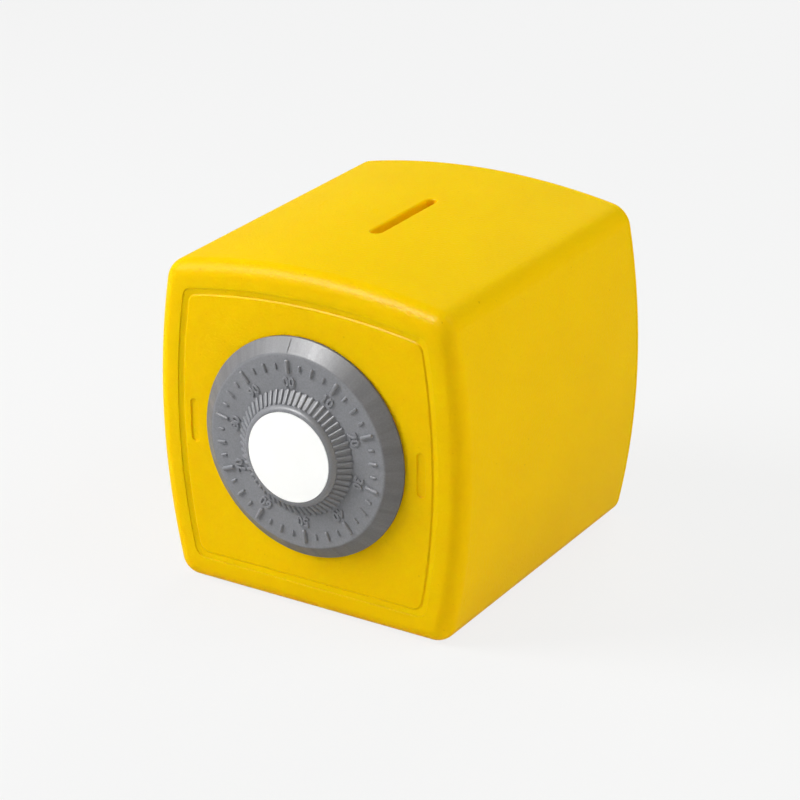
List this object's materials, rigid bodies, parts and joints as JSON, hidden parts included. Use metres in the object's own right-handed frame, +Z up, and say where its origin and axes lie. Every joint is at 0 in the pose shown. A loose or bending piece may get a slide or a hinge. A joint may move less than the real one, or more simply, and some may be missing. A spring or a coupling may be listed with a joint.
{
  "type": "money box safe",
  "caption": "Plastic money box shaped like a small safe, with bowed sides and top, a coin slot, and a lift-off front door locked by a numbered dial.",
  "frame": {"origin": "centre of the flat base", "axes": "+X to the right seen from the front, +Y from the door to the back, +Z up"},
  "size_m": [0.098, 0.1055, 0.0984],
  "materials": {
    "yellow_plastic": "satin, fine moulded grain",
    "grey_plastic": "satin, slight metallic sheen",
    "white_label": "smooth printed film",
    "natural_plastic": "smooth moulded",
    "steel": "zinc plated"
  },
  "bodies": {
    "housing": {"housing": "yellow_plastic", "back_cover": "yellow_plastic", "back_cover_screws": "steel"},
    "door": {"door_panel": "yellow_plastic", "dial_washer": "natural_plastic", "lock_cover": "yellow_plastic", "lock_cover_screws": "steel", "click_spring": "steel"},
    "dial": {"dial": "grey_plastic", "dial_label": "white_label", "lock_cam": "natural_plastic", "cam_washer": "steel", "cam_screw": "steel"},
    "left_bolt": {"left_bolt": "natural_plastic"},
    "right_bolt": {"right_bolt": "natural_plastic"}
  },
  "joints": [
    {"name": "door_lift_off", "type": "slide", "parent": "housing", "child": "door", "axis": [0, -1, 0], "range_m": [0, 0.06]},
    {"name": "dial_turn", "type": "hinge", "parent": "door", "child": "dial", "pos_m": [0, -0.0491, 0.0482], "axis": [0, 1, 0], "range_deg": [0, 144], "deforming": ["click_spring"]},
    {"name": "left_bolt_slide", "type": "slide", "parent": "door", "child": "left_bolt", "axis": [-1, 0, 0], "range_m": [0, 0.004]},
    {"name": "right_bolt_slide", "type": "slide", "parent": "door", "child": "right_bolt", "axis": [1, 0, 0], "range_m": [0, 0.004]}
  ],
  "couplings": [
    {"joint": "left_bolt_slide", "follows": "dial_turn", "m_per_rad": 0.0015915},
    {"joint": "right_bolt_slide", "follows": "dial_turn", "m_per_rad": 0.0015915}
  ]
}
